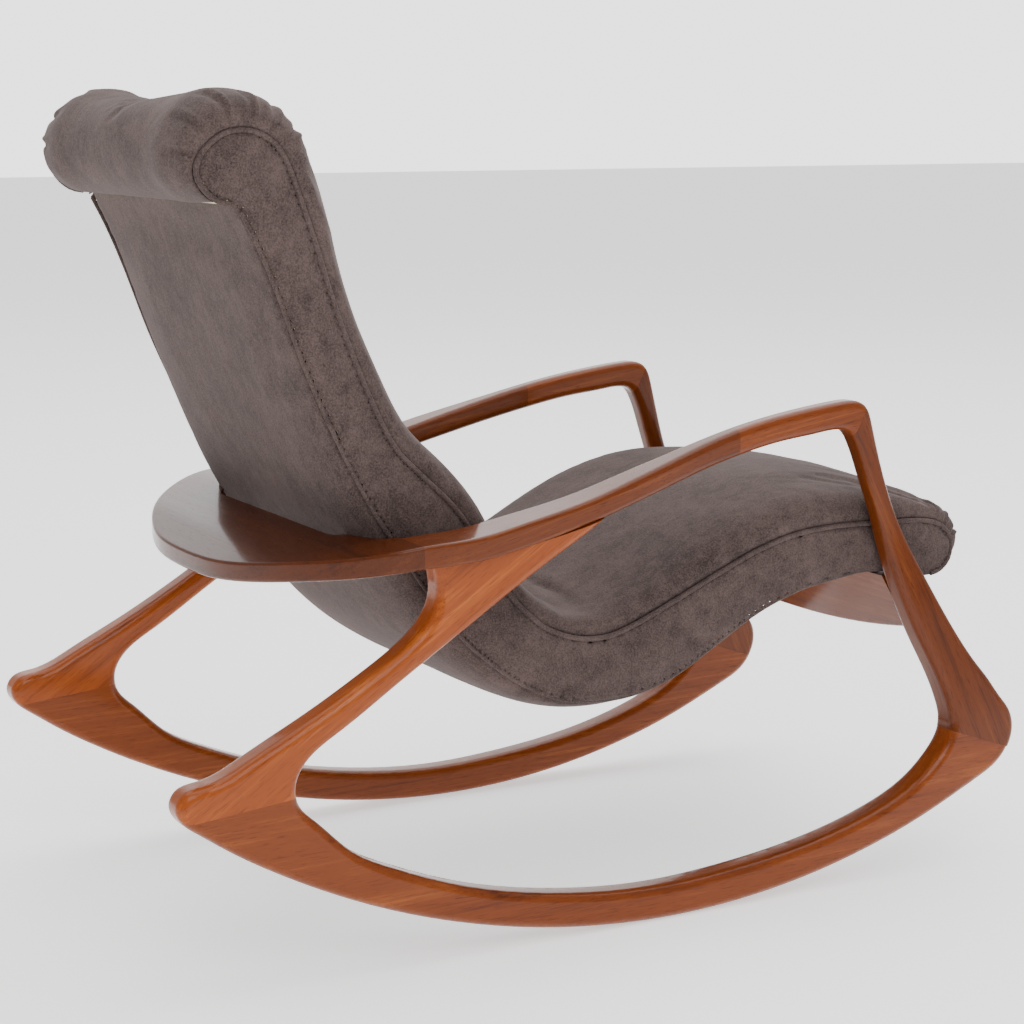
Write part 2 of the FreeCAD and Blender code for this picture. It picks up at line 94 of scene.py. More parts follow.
# Direction of the wood grain in each piece of the frame, and a factor that makes that piece's walnut colours
# lighter or darker.
GRAIN = {
    "rocker": ((0, 1, -.02), 1.0),
    "rear_leg": ((0, -.83, .56), 1.5),
    "front_leg": ((-.08, .40, .91), .66),
    "arm_rear": ((-.10, -.97, .22), .66),
    "arm_front": ((0, -.985, .17), .92),
    "back_rail": ((1, 0, 0), .46),
    "front_stretcher": ((1, 0, 0), .72),
}


# ---------------------------------------------------------------- sizes and colours

class RockingChairWood(bpy.types.PropertyGroup):
    """Colours and finish of the walnut frame."""
    dark: FloatVectorProperty(
        name="Dark grain", description="Colour of the late-wood lines and pores",
        subtype="COLOR", size=4, min=0, max=1, default=(.068, .0128, .0026, 1))
    mid: FloatVectorProperty(
        name="Walnut", description="Main colour of the wood",
        subtype="COLOR", size=4, min=0, max=1, default=(.186, .039, .0056, 1))
    light: FloatVectorProperty(
        name="Light grain", description="Colour of the palest streaks",
        subtype="COLOR", size=4, min=0, max=1, default=(.310, .080, .0145, 1))
    lacquer: FloatProperty(
        name="Lacquer roughness", description="Roughness of the satin lacquer", min=0, max=1, default=.13)


class RockingChairVelvet(bpy.types.PropertyGroup):
    """Colours, fullness and trimming of the upholstery."""
    # the two velvet colours: the pile's own tone plus painted shade in the dark one and painted sheen in the
    # light one
    dark: FloatVectorProperty(
        name="Dark pile and painted shade", description="Velvet where the pile leans away",
        subtype="COLOR", size=4, min=0, max=1, default=(.028, .0190, .0172, 1))
    light: FloatVectorProperty(
        name="Light pile and painted sheen", description="Velvet where the pile stands up",
        subtype="COLOR", size=4, min=0, max=1, default=(.116, .0815, .0745, 1))
    voxel: FloatProperty(
        name="Cloth cell", description="Size of the cells of the simulated cover",
        unit="LENGTH", min=.003, max=.02, default=.008)
    puff: FloatProperty(
        name="Cushion puff", description="Most that the front cover may rise when it is filled",
        unit="LENGTH", min=0, max=.03, default=.010)
    back_puff: FloatProperty(
        name="Back puff", description="Most that the outside back may rise when it is filled",
        unit="LENGTH", min=0, max=.03, default=.004)
    side_bulge: FloatProperty(
        name="Side bulge", description="How far the edge of the front cushion swells past the side panels",
        unit="LENGTH", min=0, max=.03, default=.008)
    fullness: FloatProperty(
        name="Edge fullness", description="Squareness of the cushion across the chair; the CAD crown has 6",
        min=6, max=40, default=20)
    head_bulge: FloatProperty(
        name="Head roll bulge", description="How far the ends of the head roll swell past the side panels",
        unit="LENGTH", min=0, max=.03, default=.014)
    gather: FloatProperty(
        name="Gather depth", description="Depth of the gathers sewn into the head roll and the front edge",
        unit="LENGTH", min=0, max=.01, default=.0036)
    panel_crown: FloatProperty(
        name="Side panel crown", description="How far the middle of a side panel stands out",
        unit="LENGTH", min=0, max=.01, default=.006)
    cord: FloatProperty(
        name="Sewn edge", description="Radius of the rolled edge along the sewn line",
        unit="LENGTH", min=.0005, max=.005, default=.0026)
    stitch_pitch: FloatProperty(
        name="Stitch spacing", description="Distance between hand stitches along the sewn line",
        unit="LENGTH", min=.004, max=.05, default=.013)


class RockingChairStage(bpy.types.PropertyGroup):
    """Camera, floor and lights."""
    camera_at: FloatVectorProperty(
        name="Camera", description="Where the camera stands",
        subtype="TRANSLATION", unit="LENGTH", size=3, default=(-2.652, 1.4514, .98187))
    camera_towards: FloatVectorProperty(
        name="View direction", description="Direction in which the camera looks",
        subtype="DIRECTION", size=3, default=(.8642, -.4737, -.1695))
    lens: FloatProperty(
        name="Lens", description="Focal length in millimetres on a 36 mm sensor",
        min=10, max=300, default=82.9)
    floor: FloatVectorProperty(
        name="Floor", description="Colour of the floor",
        subtype="COLOR", size=4, min=0, max=1, default=(.93, .93, .93, 1))
    surround: FloatProperty(
        name="Surround", description="Strength of the light from the room", min=0, max=10, default=.6)
    backdrop: FloatProperty(
        name="Backdrop", description="Brightness of the room behind the chair", min=0, max=10, default=2.6)
    floor_glow: FloatProperty(
        name="Floor glow", description="Own light of the white studio floor", min=0, max=10, default=.8)
    overhead: FloatProperty(
        name="Overhead light", description="Power of the soft light above the chair in watts",
        min=0, max=1000, default=390)
    key: FloatProperty(
        name="Key light", description="Power of the large soft light on the sitter's right in watts",
        min=0, max=1000, default=42)
    far: FloatProperty(
        name="Far glow", description="Extra brightness of the room low on the far side",
        min=0, max=10, default=1.3)


# ---------------------------------------------------------------- node groups and materials

def node(tree, kind, inputs=None, **settings):
    made = tree.nodes.new(kind)
    for name, value in settings.items():
        setattr(made, name, value)
    for name, value in (inputs or {}).items():
        if isinstance(value, bpy.types.NodeSocket):
            tree.links.new(value, made.inputs[name])
        else:
            made.inputs[name].default_value = value
    return made


def ramp(tree, value, stops, smooth=False):
    made = node(tree, "ShaderNodeValToRGB", {"Fac": value})
    bar = made.color_ramp
    bar.interpolation = "EASE" if smooth else "LINEAR"
    while len(bar.elements) < len(stops):
        bar.elements.new(.5)
    for stop, (place, colour) in zip(bar.elements, stops):
        stop.position = place
        stop.color = colour if hasattr(colour, "__len__") else (colour, colour, colour, 1)
    return made.outputs["Color"]


def mixed(tree, factor, first, second, blend="MIX"):
    made = node(tree, "ShaderNodeMix", data_type="RGBA", blend_type=blend)
    for slot, value in ((0, factor), (6, first), (7, second)):
        if isinstance(value, bpy.types.NodeSocket):
            tree.links.new(value, made.inputs[slot])
        else:
            made.inputs[slot].default_value = value
    return made.outputs[2]


def number(tree, operation, first, second=0.0, third=0.0):
    made = node(tree, "ShaderNodeMath", {0: first, 1: second, 2: third}, operation=operation)
    return made.outputs[0]


def noise_value(tree, vector, scale, detail=2.0, rough=.5, distortion=0.0):
    made = node(tree, "ShaderNodeTexNoise", {
        "Vector": vector, "Scale": scale, "Detail": detail, "Roughness": rough, "Distortion": distortion})
    return made.outputs["Fac"]


def stretched(tree, vector, scale):
    return node(tree, "ShaderNodeMapping", {"Vector": vector, "Scale": scale}).outputs["Vector"]


def new_group(name, inputs, outputs):
    group = bpy.data.node_groups.new(name, "ShaderNodeTree")
    for label, kind in inputs:
        group.interface.new_socket(label, in_out="INPUT", socket_type=kind)
    for label, kind in outputs:
        group.interface.new_socket(label, in_out="OUTPUT", socket_type=kind)
    return group, node(group, "NodeGroupInput"), node(group, "NodeGroupOutput")


VECTOR, COLOUR, VALUE = "NodeSocketVector", "NodeSocketColor", "NodeSocketFloat"


def wood_figure():
    """Walnut: ring lines, fibres and pores along the X axis of the incoming vector."""
    name = "wood figure"
    if name in bpy.data.node_groups:
        return bpy.data.node_groups[name]
    group, given, result = new_group(
        name,
        [("Vector", VECTOR), ("Dark", COLOUR), ("Mid", COLOUR), ("Light", COLOUR)],
        [("Color", COLOUR), ("Gloss", VALUE), ("Height", VALUE)])
    vector = given.outputs["Vector"]
    drawn = stretched(group, vector, (.16, 1, 1))
    rings = node(group, "ShaderNodeTexWave", {
        "Vector": drawn, "Scale": 13.0, "Distortion": 9.0, "Detail": 3.0,
        "Detail Scale": .32, "Detail Roughness": .55}, wave_type="RINGS", rings_direction="X")
    fine_rings = node(group, "ShaderNodeTexWave", {
        "Vector": drawn, "Scale": 41.0, "Distortion": 12.0, "Detail": 3.0,
        "Detail Scale": .25, "Detail Roughness": .6}, wave_type="RINGS", rings_direction="X")
    fibres = noise_value(group, stretched(group, vector, (.035, 1, 1)), 420, 3, .65)
    streaks = noise_value(group, stretched(group, vector, (.06, 1, 1)), 60, 3, .6)
    clouds = noise_value(group, stretched(group, vector, (.35, 1, 1)), 9, 2, .5)
    pores = noise_value(group, stretched(group, vector, (.045, 1, 1)), 1150, 1, .4)

    tone = number(group, "MULTIPLY_ADD", rings.outputs["Fac"], .10, 0.0)
    tone = number(group, "MULTIPLY_ADD", fine_rings.outputs["Fac"], .08, tone)
    tone = number(group, "MULTIPLY_ADD", streaks, .55, tone)
    tone = number(group, "MULTIPLY_ADD", clouds, .50, tone)
    tone = number(group, "MULTIPLY_ADD", fibres, .45, tone)
    tone = number(group, "SUBTRACT", tone, .34)
    low = node(group, "ShaderNodeMapRange", {
        "Value": tone, "From Min": .12, "From Max": .48}, interpolation_type="SMOOTHSTEP").outputs["Result"]
    high = node(group, "ShaderNodeMapRange", {
        "Value": tone, "From Min": .50, "From Max": .86}, interpolation_type="SMOOTHSTEP").outputs["Result"]
    colour = mixed(group, low, given.outputs["Dark"], given.outputs["Mid"])
    colour = mixed(group, high, colour, given.outputs["Light"])
    pore_mask = ramp(group, pores, [(.60, 0.0), (.70, 1.0)])
    colour = mixed(group, number(group, "MULTIPLY", pore_mask, .55), colour, given.outputs["Dark"])

    gloss = number(group, "MULTIPLY_ADD", streaks, .16, -.08)
    gloss = number(group, "MULTIPLY_ADD", pore_mask, .10, gloss)
    height = number(group, "MULTIPLY_ADD", fibres, .35, number(group, "MULTIPLY", pore_mask, -.6))
    group.links.new(colour, result.inputs["Color"])
    group.links.new(gloss, result.inputs["Gloss"])
    group.links.new(height, result.inputs["Height"])
    return group


def velvet_pile_and_sheen():
    """Pile fabric: brushed patches, soft streaks and single tufts, partly the pile's own random tone and
    partly painted sheen and painted shade.
    """
    name = "velvet nap"
    if name in bpy.data.node_groups:
        return bpy.data.node_groups[name]
    group, given, result = new_group(
        name,
        [("Vector", VECTOR), ("Dark pile, painted shade", COLOUR), ("Light pile, painted sheen", COLOUR)],
        [("Color", COLOUR), ("Rough", VALUE), ("Height", VALUE)])
    vector = given.outputs["Vector"]
    patches = noise_value(group, vector, 11, 4, .62, .6)
    small = noise_value(group, vector, 55, 3, .65, .4)
    brushed = noise_value(group, stretched(group, vector, (1, .3, .3)), 130, 2, .6)
    tufts = noise_value(group, vector, 480, 2, .75)
    # mix of the patch noises: the pile's random tone, with painted sheen where it is high and painted shade
    # where it is low
    pile_and_sheen = number(group, "MULTIPLY_ADD", patches, .60, -.645)
    pile_and_sheen = number(group, "MULTIPLY_ADD", small, .45, pile_and_sheen)
    pile_and_sheen = number(group, "MULTIPLY_ADD", brushed, .30, pile_and_sheen)
    pile_and_sheen = number(group, "MULTIPLY_ADD", tufts, 1.30, pile_and_sheen)
    pile_and_sheen = node(group, "ShaderNodeMapRange", {
        "Value": pile_and_sheen, "From Min": .25, "From Max": 1.05}, interpolation_type="SMOOTHSTEP").outputs["Result"]
    colour = mixed(group, pile_and_sheen, given.outputs["Dark pile, painted shade"], given.outputs["Light pile, painted sheen"])
    rough = number(group, "MULTIPLY_ADD", pile_and_sheen, .18, .74)
    height = number(group, "MULTIPLY_ADD", small, .9, number(group, "MULTIPLY", tufts, .55))
    group.links.new(colour, result.inputs["Color"])
    group.links.new(rough, result.inputs["Rough"])
    group.links.new(height, result.inputs["Height"])
    return group


def new_material(name):
    material = bpy.data.materials.new(name)
    material.use_nodes = True
    tree = material.node_tree
    shader = next(n for n in tree.nodes if n.type == "BSDF_PRINCIPLED")
    place = node(tree, "ShaderNodeTexCoord").outputs["Object"]
    return material, tree, shader, place


def set_bump(tree, shader, height, strength, distance):
    bump = node(tree, "ShaderNodeBump", {"Height": height, "Strength": strength, "Distance": distance})
    tree.links.new(bump.outputs["Normal"], shader.inputs["Normal"])


def toned(colour, tone):
    return tuple(min(1.0, c * tone) for c in colour[:3]) + (1,)


def walnut(name, grain, pith, tone):
    """Lacquered walnut with its grain along one direction; pith is the offset of the log's middle."""
    wood = bpy.context.scene.rocking_chair_wood
    material, tree, shader, place = new_material(name)
    turn = Vector(grain).rotation_difference(Vector((1, 0, 0))).to_euler()
    along = node(tree, "ShaderNodeMapping", {"Vector": place, "Rotation": turn, "Location": pith})
    figure = node(tree, "ShaderNodeGroup", node_tree=wood_figure())
    tree.links.new(along.outputs["Vector"], figure.inputs["Vector"])
    figure.inputs["Dark"].default_value = toned(wood.dark, tone)
    figure.inputs["Mid"].default_value = toned(wood.mid, tone)
    figure.inputs["Light"].default_value = toned(wood.light, tone)
    tree.links.new(figure.outputs["Color"], shader.inputs["Base Color"])
    rough = number(tree, "ADD", figure.outputs["Gloss"], .38)
    tree.links.new(rough, shader.inputs["Roughness"])
    shader.inputs["Specular IOR Level"].default_value = .06
    shader.inputs["Coat Weight"].default_value = .8
    shader.inputs["Coat Roughness"].default_value = wood.lacquer
    shader.inputs["Coat IOR"].default_value = 1.3
    set_bump(tree, shader, figure.outputs["Height"], .25, .0004)
    return material


def velvet(name, bump_distance=.0009):
    look = bpy.context.scene.rocking_chair_velvet
    material, tree, shader, place = new_material(name)
    pile_and_sheen = node(tree, "ShaderNodeGroup", node_tree=velvet_pile_and_sheen())
    tree.links.new(place, pile_and_sheen.inputs["Vector"])
    # these colours carry painted sheen and painted shade as well as the pile's own tone
    pile_and_sheen.inputs["Dark pile, painted shade"].default_value = look.dark
    pile_and_sheen.inputs["Light pile, painted sheen"].default_value = look.light
    tree.links.new(pile_and_sheen.outputs["Color"], shader.inputs["Base Color"])
    tree.links.new(pile_and_sheen.outputs["Rough"], shader.inputs["Roughness"])
    shader.inputs["Specular IOR Level"].default_value = .15
    shader.inputs["Sheen Weight"].default_value = .14
    shader.inputs["Sheen Roughness"].default_value = .42
    shader.inputs["Sheen Tint"].default_value = (.92, .80, .78, 1)
    set_bump(tree, shader, pile_and_sheen.outputs["Height"], .5, bump_distance)
    return material


def plain_wood(name, dark, light, scale):
    """Bare wood of the hidden dowels, rails and plywood."""
    material, tree, shader, place = new_material(name)
    lines = noise_value(tree, stretched(tree, place, (.08, 1, 1)), scale, 3, .6)
    clouds = noise_value(tree, place, 12, 2, .5)
    tone = number(tree, "MULTIPLY_ADD", clouds, .4, number(tree, "MULTIPLY", lines, .6))
    tree.links.new(ramp(tree, tone, [(.35, dark), (.65, light)]), shader.inputs["Base Color"])
    tree.links.new(ramp(tree, lines, [(.3, .55), (.7, .75)]), shader.inputs["Roughness"])
    set_bump(tree, shader, lines, .3, .0005)
    return material


def woven(name, dark, light, pitch):
    """Plain weave for burlap and webbing."""
    material, tree, shader, place = new_material(name)
    period = 2 * math.pi / (20 * pitch)
    warp = node(tree, "ShaderNodeTexWave", {"Vector": place, "Scale": period, "Distortion": .4},
                bands_direction="X").outputs["Fac"]
    weft = node(tree, "ShaderNodeTexWave", {"Vector": place, "Scale": period, "Distortion": .4},
                bands_direction="DIAGONAL").outputs["Fac"]
    weave = number(tree, "MULTIPLY", warp, weft)
    slubs = noise_value(tree, place, 90, 3, .6)
    tone = number(tree, "MULTIPLY_ADD", slubs, .5, number(tree, "MULTIPLY", weave, .6))
    tree.links.new(ramp(tree, tone, [(.2, dark), (.8, light)]), shader.inputs["Base Color"])
    tree.links.new(ramp(tree, slubs, [(.3, .8), (.7, .95)]), shader.inputs["Roughness"])
    set_bump(tree, shader, weave, .6, .0006)
    return material


def cut_foam(name):
    material, tree, shader, place = new_material(name)
    cells = node(tree, "ShaderNodeTexVoronoi", {"Vector": place, "Scale": 700.0}).outputs["Distance"]
    stain = noise_value(tree, place, 14, 3, .5)
    tone = number(tree, "MULTIPLY_ADD", cells, .5, number(tree, "MULTIPLY", stain, .5))
    colours = ramp(tree, tone, [(.2, (.50, .42, .24, 1)), (.7, (.78, .70, .48, 1))])
    tree.links.new(colours, shader.inputs["Base Color"])
    tree.links.new(ramp(tree, stain, [(.3, .8), (.7, .95)]), shader.inputs["Roughness"])
    set_bump(tree, shader, cells, .6, .001)
    return material


def zinc(name):
    material, tree, shader, place = new_material(name)
    spangle = node(tree, "ShaderNodeTexVoronoi", {"Vector": place, "Scale": 320.0}).outputs["Color"]
    value = node(tree, "ShaderNodeRGBToBW", {"Color": spangle}).outputs["Val"]
    greys = ramp(tree, value, [(0, (.42, .43, .45, 1)), (1, (.66, .67, .69, 1))])
    tree.links.new(greys, shader.inputs["Base Color"])
    tree.links.new(ramp(tree, value, [(0, .28), (1, .42)]), shader.inputs["Roughness"])
    shader.inputs["Metallic"].default_value = 1
    return material


# ---------------------------------------------------------------- mesh helpers

def new_object(name, mesh, material):
    made = bpy.data.objects.new(name, mesh)
    bpy.context.scene.collection.objects.link(made)
    mesh.materials.clear()
    mesh.materials.append(material)
    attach(made, "root")
    return made


def copied(name, node_name, material):
    """New piece with a joined-up copy of a node's mesh, standing for that node."""
    shape = bmesh.new()
    shape.from_mesh(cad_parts[node_name].data)
    bmesh.ops.remove_doubles(shape, verts=shape.verts, dist=.00001)
    mesh = bpy.data.meshes.new(name)
    shape.to_mesh(mesh)
    shape.free()
    if "custom_normal" in mesh.attributes:
        mesh.attributes.remove(mesh.attributes["custom_normal"])
    mesh.shade_smooth()
    made = new_object(name, mesh, material)
    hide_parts(node_name)
    return made


def deepened(piece, line, depth, tuck):
    """Moves the inner face of a cover towards the shell and tucks in its two ends to keep thin edges solid."""
    edge = max(vertex.co.x for vertex in piece.data.vertices)
    for vertex in piece.data.vertices:
        along, height, normal = line.place(vertex.co)
        run = Vector((0, -normal.y, normal.x))
        if height < .0008 or abs(vertex.co.x) > edge - .0003:
            vertex.co -= Vector((0, normal.x, normal.y)) * depth
        if along < .002:
            vertex.co -= run * tuck
        elif along > line.length - .002:
            vertex.co += run * tuck


def apply_modifiers(piece):
    """Bakes the piece's modifiers into its mesh."""
    graph = bpy.context.evaluated_depsgraph_get()
    mesh = bpy.data.meshes.new_from_object(piece.evaluated_get(graph))
    old = piece.data
    piece.modifiers.clear()
    piece.data = mesh
    bpy.data.meshes.remove(old)
    mesh.shade_smooth()


def remeshed(piece, cell, smoothing=0):
    remesh = piece.modifiers.new("cells", "REMESH")
    remesh.mode = "VOXEL"
    remesh.voxel_size = cell
    remesh.use_smooth_shade = True
    if smoothing:
        smooth = piece.modifiers.new("even", "SMOOTH")
        smooth.factor = .5
        smooth.iterations = smoothing
    apply_modifiers(piece)


def subdivided(piece):
    modifier = piece.modifiers.new("finer", "SUBSURF")
    modifier.levels = modifier.render_levels = 1
    apply_modifiers(piece)


def filled(piece, pins, most):
    """Inflates a cover by cloth simulation; pins holds each vertex's grip, most is how far one may move."""
    group = piece.vertex_groups.new(name="sewn")
    for index, grip in enumerate(pins):
        if grip > 0:
            group.add([index], grip, "REPLACE")
    start = [v.co.copy() for v in piece.data.vertices]
    cloth = piece.modifiers.new("filling", "CLOTH")
    cloth.settings.quality = 4
    cloth.settings.mass = .3
    cloth.settings.tension_stiffness = 25
    cloth.settings.compression_stiffness = 25
    cloth.settings.shear_stiffness = 8
    cloth.settings.bending_stiffness = .8
    cloth.settings.use_pressure = True
    cloth.settings.uniform_pressure_force = 4
    cloth.settings.effector_weights.gravity = 0
    cloth.settings.vertex_group_mass = "sewn"
    cloth.collision_settings.use_collision = False
    scene = bpy.context.scene
    for count in range(1, 21):
        scene.frame_set(count)
    apply_modifiers(piece)
    scene.frame_set(1)
    for vertex, old in zip(piece.data.vertices, start):
        move = vertex.co - old
        length = move.length
        if length > most:
            vertex.co = old + move * (most / length)


class Line:
    """A side-view line as close-set samples with outward normals."""

    def __init__(self, points, step=.004):
        self.spots = []
        self.shares = []
        total = 0.0
        count = len(points)
        for i in range(count - 1):
            p0, p1, p2, p3 = (Vector(points[min(max(i + k, 0), count - 1)]) for k in (-1, 0, 1, 2))
            pieces = max(2, round((p2 - p1).length / step))
            for k in range(pieces):
                t = k / pieces
                spot = .5 * (2 * p1 + (p2 - p0) * t + (2 * p0 - 5 * p1 + 4 * p2 - p3) * t ** 2
                             + (3 * p1 - p0 - 3 * p2 + p3) * t ** 3)
                if self.spots:
                    total += (spot - self.spots[-1]).length
                self.spots.append(spot)
                self.shares.append(total)
        self.length = total
        self.normals = []
        last = len(self.spots) - 1
        for i in range(last + 1):
            run = (self.spots[min(i + 1, last)] - self.spots[max(i - 1, 0)]).normalized()
            self.normals.append(Vector((run.y, -run.x)))
        self.tree = kdtree.KDTree(last + 1)
        for i, spot in enumerate(self.spots):
            self.tree.insert((spot.x, spot.y, 0), i)
        self.tree.balance()

    def place(self, co):
        """Distance along the line, height above it and outward normal at a 3D point."""
        _, index, _ = self.tree.find((co.y, co.z, 0))
        gap = Vector((co.y, co.z)) - self.spots[index]
        normal = self.normals[index]
        return self.shares[index], gap.dot(normal), normal

    def at(self, distance):
        index = min(range(len(self.shares)), key=lambda i: abs(self.shares[i] - distance))
        return self.spots[index], self.normals[index]


def ease(value, low, high):
    """0 below low, 1 above high, smooth between."""
    t = min(1.0, max(0.0, (value - low) / (high - low)))
    return t * t * (3 - 2 * t)


def tube(name, line, x, radius, material, flat=1.0, first=.004, last=.004):
    """A round cord along a side-view line at one x."""
    curve = bpy.data.curves.new(name, "CURVE")
    curve.dimensions = "3D"
    curve.bevel_depth = radius
    curve.bevel_resolution = 3
    curve.use_fill_caps = True
    spots = [s for s, d in zip(line.spots, line.shares) if first < d < line.length - last][::2]
    spline = curve.splines.new("POLY")
    spline.points.add(len(spots) - 1)
    for point, spot in zip(spline.points, spots):
        point.co = (0, spot.x, spot.y, 1)
    holder = bpy.data.objects.new(name, curve)
    bpy.context.scene.collection.objects.link(holder)
    graph = bpy.context.evaluated_depsgraph_get()
    mesh = bpy.data.meshes.new_from_object(holder.evaluated_get(graph))
    bpy.data.objects.remove(holder)
    bpy.data.curves.remove(curve)
    for vertex in mesh.vertices:
        vertex.co.x = vertex.co.x * flat + x
    mesh.shade_smooth()
    return new_object(name, mesh, material)


# ---------------------------------------------------------------- operators

class ROCKINGCHAIR_OT_wood(bpy.types.Operator):
    """Gives every piece of the walnut frame smooth faces and its own grain"""
    bl_idname = "rocking_chair.wood"
    bl_label = "Walnut frame"

    def execute(self, context):
        nodes = [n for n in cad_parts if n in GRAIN
                 or n.endswith(("_left", "_right")) and n.rsplit("_", 1)[0] in GRAIN]
        if len(nodes) != WALNUT_PIECES:
            raise RuntimeError("the frame should have twelve walnut pieces")
        for count, name in enumerate(sorted(nodes)):
            kind = name if name in GRAIN else name.rsplit("_", 1)[0]
            direction, tone = GRAIN[kind]
            grain = Vector(direction)
            if name.endswith("_right"):
                grain.x = -grain.x
            pith = (.37 * count, .06 + .021 * count, .11 + .013 * (count % 5))
            piece = copied(name + "_walnut", name, walnut(name + " walnut", grain, pith, tone))
            piece.data.set_sharp_from_angle(angle=math.radians(40))
            weighted = piece.modifiers.new("even faces", "WEIGHTED_NORMAL")
            weighted.keep_sharp = True
            weighted.weight = 80
        return {"FINISHED"}


class ROCKINGCHAIR_OT_hidden(bpy.types.Operator):
    """Finishes the dowels, bolts, plywood, rails, webbing, burlap and foam inside the chair"""
    bl_idname = "rocking_chair.hidden"
    bl_label = "Inner parts"

    def execute(self, context):
        finishes = {
            "dowel_wood": plain_wood("dowel beech", (.34, .20, .10, 1), (.55, .37, .20, 1), 300),
            "plywood": plain_wood("birch plywood", (.42, .29, .16, 1), (.64, .48, .29, 1), 160),
            "rail_wood": plain_wood("rail beech", (.38, .25, .13, 1), (.58, .42, .24, 1), 200),
            "zinc_steel": zinc("zinc plate"),
            "webbing": woven("jute webbing", (.10, .06, .03, 1), (.34, .24, .13, 1), .003),
            "burlap": woven("burlap weave", (.20, .14, .07, 1), (.52, .40, .24, 1), .002),
            "foam": cut_foam("cut foam"),
        }
        for name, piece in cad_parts.items():
            if name.endswith("_dowels"):
                slot = "dowel_wood"
            elif name.startswith("shell_side"):
                slot = "plywood"
            elif name in ("rail_bolts", "seat_screws", "front_cross_rail"):
                slot = "zinc_steel"
            elif name.endswith("cross_rail") or name == "seat_nose_core":
                slot = "rail_wood"
            elif name.endswith("_webbing"):
                slot = "webbing"
            elif name == "burlap":
                slot = "burlap"
            elif name in ("head_roll_core", "back_foam", "seat_foam"):
                slot = "foam"
            else:
                continue
            for place in range(len(piece.material_slots)):
                piece.material_slots[place].material = finishes[slot]
            if not piece.material_slots:
                raise RuntimeError(name + " has no material slot")
        for side in ("left", "right"):
            self.covered_side("shell_side_" + side, finishes["plywood"])
        return {"FINISHED"}

    def covered_side(self, name, plywood):
        """Plywood side with its rim set back far enough for the covers to hide it."""
        piece = copied(name + "_plywood", name, plywood)
        lines = (Line(CORD_LINE), Line(SEWN_LINE))
        for vertex in piece.data.vertices:
            spots = [line.place(vertex.co) for line in lines]
            _, _, normal = min(spots, key=lambda spot: abs(spot[1]))
            vertex.co -= Vector((0, normal.x, normal.y)) * PLYWOOD_SETBACK
        piece.data.shade_flat()


class ROCKINGCHAIR_OT_front(bpy.types.Operator):
    """Makes the padded front cover from head roll to front edge, filled by cloth simulation"""
    bl_idname = "rocking_chair.front"
    bl_label = "Front cushion"

    def execute(self, context):
        look = context.scene.rocking_chair_velvet
        piece = copied("front_cushion_velvet", "front_cushion", velvet("velvet front"))
        line = Line(CORD_LINE)
        deepened(piece, line, .010, .008)
        remeshed(piece, look.voxel, 1)
        pins = []
        for vertex in piece.data.vertices:
            _, height, _ = line.place(vertex.co)
            pins.append(1 - ease(height, .003, .009))
        filled(piece, pins, look.puff)
        subdivided(piece)
        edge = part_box("front_cushion")[1][0]
        self.finer_ends(piece, edge)
        facing = [v.normal.copy() for v in piece.data.vertices]
        for vertex in piece.data.vertices:
            co = vertex.co
            along, height, normal = line.place(co)
            if height < .0015:
                continue
            out = Vector((0, normal.x, normal.y))
            side = 1 if co.x > 0 else -1
            from_end = edge - abs(co.x)
            lift = ease(height, .0, .012)
            move = Vector()
            # ends of the head roll swell past the side panels
            around = Vector((co.y, co.z)) - HEAD
            head = 1 - ease(around.length, .105, .150)
            near_end = 1 - ease(from_end, .0, .055)
            swell = max(0.0, math.sin(math.pi * min(1.0, max(0.0, height / .040)) ** .75))
            bulge = look.side_bulge + (look.head_bulge - look.side_bulge) * head
            move.x += side * bulge * near_end * swell
            # fuller edge than the crown it starts from
            across = min(1.0, abs(co.x) / edge)
            full = math.sqrt((1 - across ** look.fullness) / max(.02, 1 - across ** CAD_CROWN))
            move += out * (height * (min(full, 1.7) - 1) * lift)
            move += out * (.0045 * head * lift * math.exp(-((from_end - .065) / .04) ** 2))
            # gathers, fanned round the head roll and the front edge
            for middle, reach, angles in GATHERS:
                spoke = Vector((co.y, co.z)) - middle
                if spoke.length < reach:
                    angle = math.degrees(math.atan2(spoke.y, spoke.x))
                    for k, target in enumerate(angles):
                        off = (angle - target - 5 * noise.noise(Vector((co.x * 14, k, 0))) + 180) % 360 - 180
                        width = 2.6 + 34 * max(0.0, from_end)
                        fold = math.exp(-(off / width) ** 2)
                        ridge = math.exp(-((off - 1.7 * width) / (.6 * width)) ** 2)
                        fade = 1 - ease(from_end, .02, .062 + .016 * (k % 3))
                        move += facing[vertex.index] * (look.gather * (.6 * ridge - fold) * fade * lift)
            # small puckers along the cord and soft unevenness of the stuffing
            pucker = noise.noise(Vector((along * 38, 3.1 * side, 0)))
            move += out * (.0011 * pucker * (1 - ease(from_end, .004, .03)) * lift)
            soft = noise.noise(Vector((co.x * 6, along * 7, 1.7)))
            soft += .45 * noise.noise(Vector((co.x * 17, along * 15, 5.2)))
            move += out * (.0016 * soft * ease(height, .01, .03))
            vertex.co = co + move
        return {"FINISHED"}

    def finer_ends(self, piece, edge):
        """Smaller faces where the gathers are sewn in."""
        shape = bmesh.new()
        shape.from_mesh(piece.data)
        gathered = []
        for cut in shape.edges:
            co = (cut.verts[0].co + cut.verts[1].co) / 2
            spoke = Vector((co.y, co.z))
            if abs(co.x) > edge - .085 and ((spoke - HEAD).length < .125 or (spoke - KNEE).length < .085):
                gathered.append(cut)
        bmesh.ops.subdivide_edges(shape, edges=gathered, cuts=1, use_grid_fill=True, smooth=.5)
        shape.to_mesh(piece.data)
        shape.free()
        piece.data.shade_smooth()


